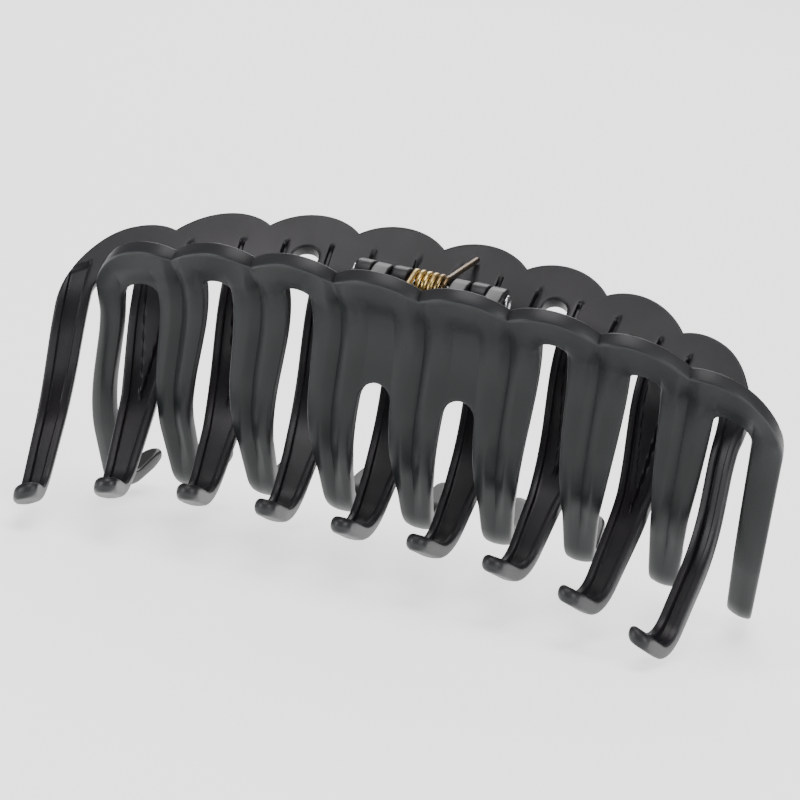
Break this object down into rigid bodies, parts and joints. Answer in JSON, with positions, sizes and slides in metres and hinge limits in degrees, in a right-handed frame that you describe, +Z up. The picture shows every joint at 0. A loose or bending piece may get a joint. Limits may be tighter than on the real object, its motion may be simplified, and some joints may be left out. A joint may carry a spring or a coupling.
{
  "type": "claw clip",
  "caption": "Large hair claw clip: two scalloped jaws with long curved interlacing prongs, hinged on a pin and held shut by a torsion spring.",
  "frame": {"origin": "middle of the base of the bounding box, with the clip standing closed on its end prongs, below the hinge axis", "axes": "+X along the hinge pin, +Z up from the prong tips to the scalloped rims, front jaw at -Y and back jaw at +Y"},
  "size_m": [0.1244, 0.0534, 0.0534],
  "materials": {
    "jaw_plastic": "satin black moulded plastic",
    "pin_steel": "bright drawn steel",
    "spring_wire": "brass-coloured spring wire"
  },
  "bodies": {
    "back_jaw": {"back_jaw": "jaw_plastic", "hinge_pin": "pin_steel", "torsion_spring": "spring_wire"},
    "front_jaw": {"front_jaw": "jaw_plastic"}
  },
  "joints": [
    {"name": "jaw_hinge", "type": "hinge", "parent": "back_jaw", "child": "front_jaw", "pos_m": [0, 0, 0.04797], "axis": [-1, 0, 0], "range_deg": [0, 95], "stiffness_Nm_per_rad": 0.12, "springref_deg": -34.38, "deforming": ["torsion_spring"]}
  ]
}
